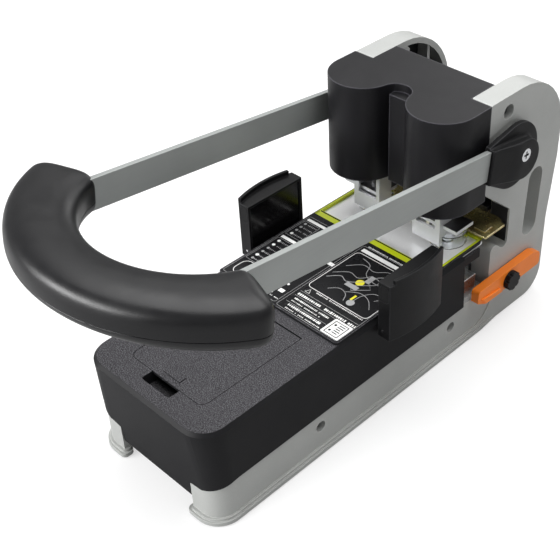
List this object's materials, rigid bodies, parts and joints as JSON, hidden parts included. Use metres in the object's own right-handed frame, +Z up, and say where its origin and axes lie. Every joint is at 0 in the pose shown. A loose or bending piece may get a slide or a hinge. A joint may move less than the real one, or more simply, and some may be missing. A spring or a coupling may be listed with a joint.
{
  "type": "two-hole punch",
  "caption": "Heavy-duty lever punch for paper, with a curved grip, side guides on racks, lifting hollow punches and a low base between grey castings.",
  "frame": {"origin": "centre of the part's bounding box at the height of the foot pads' undersides", "axes": "+X to the right as seen by the user at the grip, +Y from the grip to the rear, +Z up"},
  "size_m": [0.2358, 0.4498, 0.2326],
  "materials": {
    "casting": "satin light grey paint",
    "cover": "fine-textured black",
    "grip": "satin black",
    "arm": "satin with bright edges",
    "steel": "brushed",
    "dark_steel": "blackened",
    "bright": "polished",
    "zinc": "yellow chromate",
    "orange": "satin orange",
    "label": "printed film",
    "clear": "clear plastic",
    "ivory": "plain",
    "bronze": "sintered",
    "rubber": "matt"
  },
  "bodies": {
    "base": {"left_frame": "casting", "right_frame": "casting", "front_cross_bar": "steel", "rear_cross_bar": "steel", "frame_screws": "dark_steel", "foot_pads": "rubber", "base_floor": "dark_steel", "base_cover": "cover", "storage_tray": "cover", "spare_discs": "ivory", "table_plate": "cover", "label_sheet": "label", "bed_plate": "steel", "anvil_block": "steel", "guide_rail": "steel", "rear_stop": "zinc", "stop_clips": "cover", "lower_guide_plate": "dark_steel", "upper_guide_plate": "dark_steel", "guide_columns": "bright", "head_cover": "cover", "head_screws": "dark_steel", "rear_cover": "cover", "left_bush": "bronze", "right_bush": "bronze"},
    "lever": {"pivot_shaft": "bright", "left_crank": "dark_steel", "right_crank": "dark_steel", "left_arm": "arm", "right_arm": "arm", "left_pivot_cap": "cover", "right_pivot_cap": "cover", "pivot_screws": "bright", "grip_upper": "grip", "grip_lower": "grip", "grip_screws": "dark_steel"},
    "punch_carrier": {"carrier_beam": "dark_steel", "left_punch_block": "bright", "right_punch_block": "bright", "block_screws": "dark_steel", "left_punch": "bright", "right_punch": "bright", "left_guard_ring": "clear", "right_guard_ring": "clear"},
    "left_side_guide": {"left_guide": "cover"},
    "right_side_guide": {"right_guide": "cover"},
    "pinion": {"guide_pinion": "ivory"},
    "hatch_lid": {"hatch": "cover"},
    "disc_tray": {"board_tray": "cover", "cutting_discs": "ivory"},
    "lock": {"lock_lever": "orange", "lock_knob": "cover"},
    "chip_drawer": {"chip_tray": "cover"}
  },
  "joints": [
    {"name": "lever_pivot", "type": "hinge", "parent": "base", "child": "lever", "pos_m": [0, 0.15307, 0.1734], "axis": [-1, 0, 0], "range_deg": [0, 60]},
    {"name": "punch_lift", "type": "slide", "parent": "base", "child": "punch_carrier", "axis": [0, 0, 1], "range_m": [0, 0.038]},
    {"name": "left_guide_slide", "type": "slide", "parent": "base", "child": "left_side_guide", "axis": [-1, 0, 0], "range_m": [0, 0.05]},
    {"name": "right_guide_slide", "type": "slide", "parent": "base", "child": "right_side_guide", "axis": [1, 0, 0], "range_m": [0, 0.05]},
    {"name": "pinion_spin", "type": "hinge", "parent": "base", "child": "pinion", "pos_m": [0, 0.03057, 0.085], "axis": [0, 0, -1], "range_deg": [0, 478]},
    {"name": "hatch_hinge", "type": "hinge", "parent": "base", "child": "hatch_lid", "pos_m": [0, -0.05093, 0.0902], "axis": [-1, 0, 0], "range_deg": [0, 90]},
    {"name": "disc_tray_slide", "type": "slide", "parent": "base", "child": "disc_tray", "axis": [1, 0, 0], "range_m": [0, 0.1]},
    {"name": "lock_turn", "type": "hinge", "parent": "base", "child": "lock", "pos_m": [0.072, 0.15957, 0.0442], "axis": [-1, 0, 0], "range_deg": [0, 30]},
    {"name": "chip_drawer_slide", "type": "slide", "parent": "base", "child": "chip_drawer", "axis": [0, 1, 0], "range_m": [0, 0.075]}
  ],
  "couplings": [
    {"joint": "punch_lift", "follows": "lever_pivot", "m_per_rad": 0.036285},
    {"joint": "right_guide_slide", "follows": "left_guide_slide", "ratio": 1},
    {"joint": "pinion_spin", "follows": "left_guide_slide", "rad_per_m": 166.67}
  ]
}
